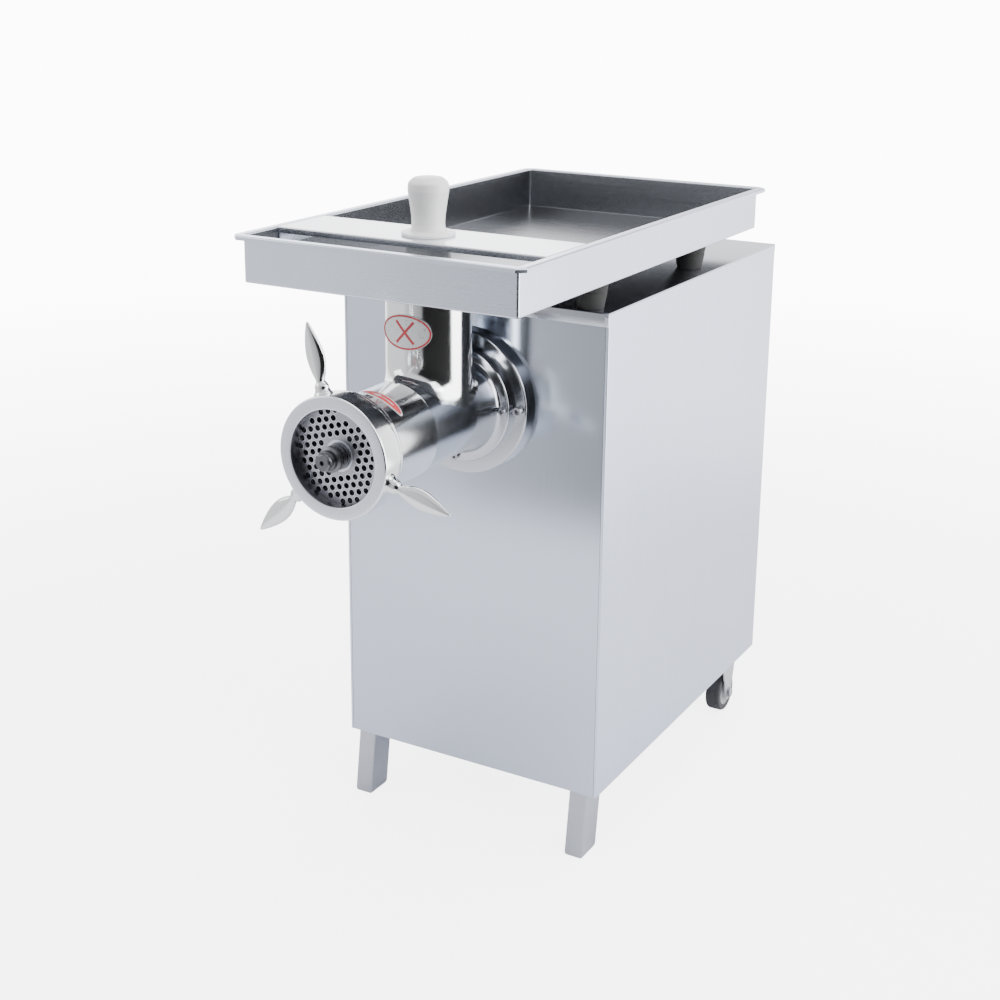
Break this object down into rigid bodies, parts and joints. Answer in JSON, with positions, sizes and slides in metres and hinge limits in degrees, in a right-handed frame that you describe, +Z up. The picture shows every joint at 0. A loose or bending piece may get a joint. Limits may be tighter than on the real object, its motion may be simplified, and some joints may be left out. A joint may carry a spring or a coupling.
{
  "type": "electric meat grinder",
  "caption": "Floor-standing steel meat grinder: cabinet on legs and casters, front screw head with perforated plate and three-handled ring nut, lift-off feed tray with guard bridge and stomper.",
  "frame": {"origin": "on the floor, under the middle of the machine's overall length and width", "axes": "+Y from the grinding head to the rear panel, +X to the right seen from the head end, +Z up"},
  "size_m": [0.42, 0.96, 0.951],
  "materials": {
    "panel_steel": "brushed stainless sheet",
    "polished_steel": "mirror polished stainless",
    "satin_steel": "satin machined stainless",
    "fastener_steel": "dull zinc plated steel",
    "drive_steel": "turned and cut steel",
    "frame_paint": "grey primer paint",
    "cast_housing": "painted casting",
    "motor_alloy": "painted cast alloy",
    "black_rubber": "matte black rubber",
    "white_plastic": "smooth white food plastic",
    "wheel_plastic": "hard grey wheel plastic",
    "dark_plastic": "black moulded plastic",
    "green_plastic": "green button",
    "red_plastic": "red button",
    "badge_print": "printed metal foil"
  },
  "bodies": {
    "cabinet": {"front_panel": "panel_steel", "side_panel_left": "panel_steel", "side_panel_right": "panel_steel", "rear_panel": "panel_steel", "top_cover": "panel_steel", "floor_pan": "panel_steel", "base_frame": "frame_paint", "drive_plate": "frame_paint", "front_leg_left": "panel_steel", "front_leg_right": "panel_steel", "caster_fork_left": "fastener_steel", "caster_fork_right": "fastener_steel", "caster_axles": "fastener_steel", "tray_supports": "black_rubber", "panel_screws": "fastener_steel", "mounting_flange": "satin_steel", "head_barrel": "polished_steel", "head_hub": "satin_steel", "flange_bolts": "fastener_steel", "hub_bolts": "fastener_steel", "plate_key": "satin_steel", "shaft_seal": "black_rubber", "neck_badge": "badge_print", "barrel_badge": "badge_print", "gear_case": "cast_housing", "gear_case_cover": "cast_housing", "gear_case_bolts": "fastener_steel", "drive_bearings": "drive_steel", "motor_case": "motor_alloy", "motor_end_bells": "motor_alloy", "motor_bearings": "drive_steel", "fan_cover": "frame_paint", "motor_base": "frame_paint", "drive_belts": "black_rubber", "control_box": "dark_plastic", "control_bezel": "dark_plastic", "cable_gland": "dark_plastic"},
    "auger": {"auger_core": "satin_steel", "auger_flight": "satin_steel", "knife": "satin_steel", "output_shaft": "drive_steel", "output_gear": "drive_steel"},
    "countershaft": {"input_shaft": "drive_steel", "pinion_gear": "drive_steel", "gearbox_pulley": "cast_housing"},
    "motor_rotor": {"rotor": "drive_steel", "motor_pulley": "cast_housing", "motor_fan": "dark_plastic"},
    "cutting_plate": {"die_plate": "satin_steel"},
    "ring": {"ring_nut": "satin_steel", "ring_handles": "polished_steel"},
    "tray": {"tray_pan": "panel_steel", "tray_collar": "panel_steel", "guard_bridge": "panel_steel"},
    "stomper": {"stomper_grip": "white_plastic", "stomper_ram": "white_plastic"},
    "left_wheel": {"wheel_left": "wheel_plastic"},
    "right_wheel": {"wheel_right": "wheel_plastic"},
    "start_switch": {"start_button": "green_plastic"},
    "stop_switch": {"stop_button": "red_plastic"}
  },
  "joints": [
    {"name": "motor_spin", "type": "hinge", "parent": "cabinet", "child": "motor_rotor", "pos_m": [0, 0.16, 0.2455], "axis": [0, 1, 0], "continuous": true},
    {"name": "countershaft_spin", "type": "hinge", "parent": "cabinet", "child": "countershaft", "pos_m": [0, -0.08, 0.52], "axis": [0, 1, 0], "continuous": true},
    {"name": "auger_spin", "type": "hinge", "parent": "cabinet", "child": "auger", "pos_m": [0, -0.08, 0.64], "axis": [0, 1, 0], "continuous": true},
    {"name": "plate_travel", "type": "slide", "parent": "cabinet", "child": "cutting_plate", "axis": [0, -1, 0], "range_m": [0, 0.0185]},
    {"name": "ring_turn", "type": "hinge", "parent": "cutting_plate", "child": "ring", "pos_m": [0, -0.44, 0.64], "axis": [0, -1, 0], "range_deg": [0, 1620]},
    {"name": "tray_lift", "type": "slide", "parent": "cabinet", "child": "tray", "axis": [0, 0, 1], "range_m": [0, 0.12]},
    {"name": "stomper_lift", "type": "slide", "parent": "tray", "child": "stomper", "axis": [0, 0, 1], "range_m": [0, 0.25]},
    {"name": "left_wheel_roll", "type": "hinge", "parent": "cabinet", "child": "left_wheel", "pos_m": [-0.176, 0.385, 0.032], "axis": [1, 0, 0], "continuous": true},
    {"name": "right_wheel_roll", "type": "hinge", "parent": "cabinet", "child": "right_wheel", "pos_m": [0.176, 0.385, 0.032], "axis": [1, 0, 0], "continuous": true},
    {"name": "start_press", "type": "slide", "parent": "cabinet", "child": "start_switch", "axis": [1, 0, 0], "range_m": [0, 0.003], "stiffness_N_per_m": 400},
    {"name": "stop_press", "type": "slide", "parent": "cabinet", "child": "stop_switch", "axis": [1, 0, 0], "range_m": [0, 0.003], "stiffness_N_per_m": 400}
  ],
  "couplings": [
    {"joint": "countershaft_spin", "follows": "motor_spin", "ratio": 0.4},
    {"joint": "auger_spin", "follows": "motor_spin", "ratio": -0.13333},
    {"joint": "plate_travel", "follows": "ring_turn", "m_per_rad": 0.00063662}
  ]
}
